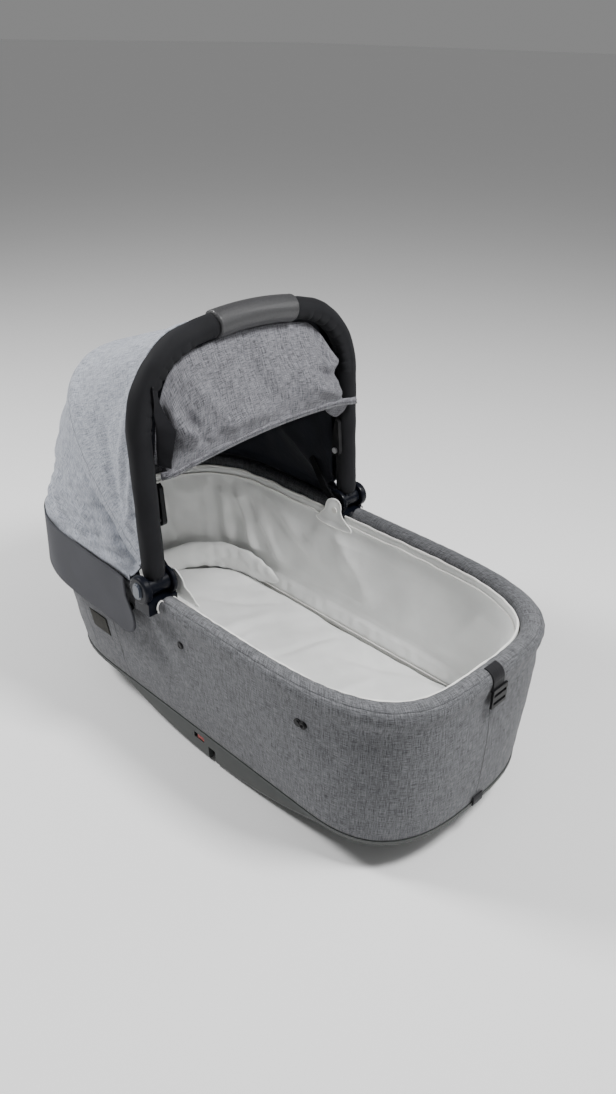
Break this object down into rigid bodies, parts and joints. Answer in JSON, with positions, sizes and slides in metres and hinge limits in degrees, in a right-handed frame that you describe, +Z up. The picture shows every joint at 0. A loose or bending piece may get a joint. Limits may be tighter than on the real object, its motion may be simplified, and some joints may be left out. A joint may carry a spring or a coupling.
{
  "type": "baby carrycot",
  "caption": "Padded pram carrycot on a rocker base, with a folding carry handle, hood, sun visor and removable mattress.",
  "frame": {"origin": "centre of the bounding box's base, on the ground under the rubber feet", "axes": "+X across the cot, +Y towards the head end and hood, +Z up"},
  "size_m": [0.479, 0.8509, 0.6789],
  "materials": {
    "base_plastic": "fine grain, dark grey green",
    "foot_rubber": "matt",
    "board": "plain sheet",
    "tube_metal": "drawn tube",
    "foam": "closed cell foam",
    "melange_cloth": "grey melange weave",
    "white_cloth": "soft off-white",
    "white_plastic": "press stud",
    "black_plastic": "fine grain",
    "black_webbing": "webbing",
    "label_cloth": "woven label, blank",
    "band_cloth": "smooth dark cloth",
    "gloss_black": "polished",
    "pin_steel": "turned",
    "button_grey": "satin",
    "flag_red": "moulded",
    "tube_metal_dark": "powder coated",
    "sleeve_cloth": "soft padded sleeve",
    "grip_leather": "grained, grey",
    "lining_cloth": "black lining"
  },
  "bodies": {
    "tub": {"base_tray": "base_plastic", "rubber_feet": "foot_rubber", "floor_board": "board", "rim_tube": "tube_metal", "rim_padding": "foam", "rim_cover": "melange_cloth", "side_board_left": "board", "side_board_right": "board", "head_board": "board", "foot_board": "board", "side_cover": "melange_cloth", "liner": "white_cloth", "liner_binding": "white_cloth", "liner_tabs": "white_cloth", "tab_snaps": "white_plastic", "side_snaps": "black_plastic", "foot_strap": "black_webbing", "strap_slider": "black_plastic", "foot_tab": "black_webbing", "side_label": "label_cloth", "hood_band": "band_cloth", "band_studs": "black_plastic", "hinge_base_left": "gloss_black", "hinge_base_right": "gloss_black", "hinge_pin_left": "pin_steel", "hinge_pin_right": "pin_steel", "lock_spring_left": "pin_steel", "lock_spring_right": "pin_steel", "latch_housing_left": "black_plastic", "latch_housing_right": "black_plastic", "latch_spring_left": "pin_steel", "latch_spring_right": "pin_steel", "hood_back": "melange_cloth"},
    "handle": {"handle_tube": "tube_metal_dark", "handle_hub_left": "gloss_black", "handle_hub_right": "gloss_black", "handle_sleeve_left": "sleeve_cloth", "handle_sleeve_right": "sleeve_cloth", "grip_cover": "grip_leather", "lever_stud_left": "pin_steel", "lever_stud_right": "pin_steel", "hood_front": "melange_cloth", "hood_lining": "lining_cloth"},
    "rear_bow": {"rear_bow": "tube_metal_dark"},
    "visor": {"visor_panel": "melange_cloth", "visor_brim": "melange_cloth"},
    "mattress": {"mattress": "white_cloth", "head_bolster": "white_cloth"},
    "button_left": {"lock_button_left": "button_grey", "clutch_disc_left": "pin_steel"},
    "latch_left": {"latch_left": "black_plastic", "latch_flag_left": "flag_red"},
    "lever_left": {"hood_lever_left": "black_plastic"},
    "button_right": {"lock_button_right": "button_grey", "clutch_disc_right": "pin_steel"},
    "latch_right": {"latch_right": "black_plastic", "latch_flag_right": "flag_red"},
    "lever_right": {"hood_lever_right": "black_plastic"}
  },
  "joints": [
    {"name": "handle_fold", "type": "hinge", "parent": "tub", "child": "handle", "pos_m": [0, 0.043, 0.304], "axis": [-1, 0, 0], "range_deg": [0, 58], "deforming": ["hood_front", "hood_lining", "hood_back"]},
    {"name": "bow_fold", "type": "hinge", "parent": "tub", "child": "rear_bow", "pos_m": [0, 0.043, 0.304], "axis": [-1, 0, 0], "range_deg": [0, 34.2]},
    {"name": "visor_flip", "type": "hinge", "parent": "handle", "child": "visor", "pos_m": [0, 0.06243, 0.63102], "axis": [-1, 0, 0], "range_deg": [0, 70]},
    {"name": "mattress_lift", "type": "slide", "parent": "tub", "child": "mattress", "axis": [0, 0, 1], "range_m": [0, 0.3]},
    {"name": "button_left_press", "type": "slide", "parent": "tub", "child": "button_left", "axis": [1, 0, 0], "range_m": [0, 0.0022], "stiffness_N_per_m": 600, "deforming": ["lock_spring_left"]},
    {"name": "latch_left_slide", "type": "slide", "parent": "tub", "child": "latch_left", "axis": [0, 1, 0], "range_m": [0, 0.006], "stiffness_N_per_m": 400, "deforming": ["latch_spring_left"]},
    {"name": "lever_left_turn", "type": "hinge", "parent": "handle", "child": "lever_left", "pos_m": [0, 0.04869, 0.39983], "axis": [1, 0, 0], "range_deg": [-25, 25]},
    {"name": "button_right_press", "type": "slide", "parent": "tub", "child": "button_right", "axis": [-1, 0, 0], "range_m": [0, 0.0022], "stiffness_N_per_m": 600, "deforming": ["lock_spring_right"]},
    {"name": "latch_right_slide", "type": "slide", "parent": "tub", "child": "latch_right", "axis": [0, 1, 0], "range_m": [0, 0.006], "stiffness_N_per_m": 400, "deforming": ["latch_spring_right"]},
    {"name": "lever_right_turn", "type": "hinge", "parent": "handle", "child": "lever_right", "pos_m": [0, 0.04869, 0.39983], "axis": [1, 0, 0], "range_deg": [-25, 25]}
  ],
  "couplings": [
    {"joint": "bow_fold", "follows": "handle_fold", "ratio": 0.5862}
  ]
}
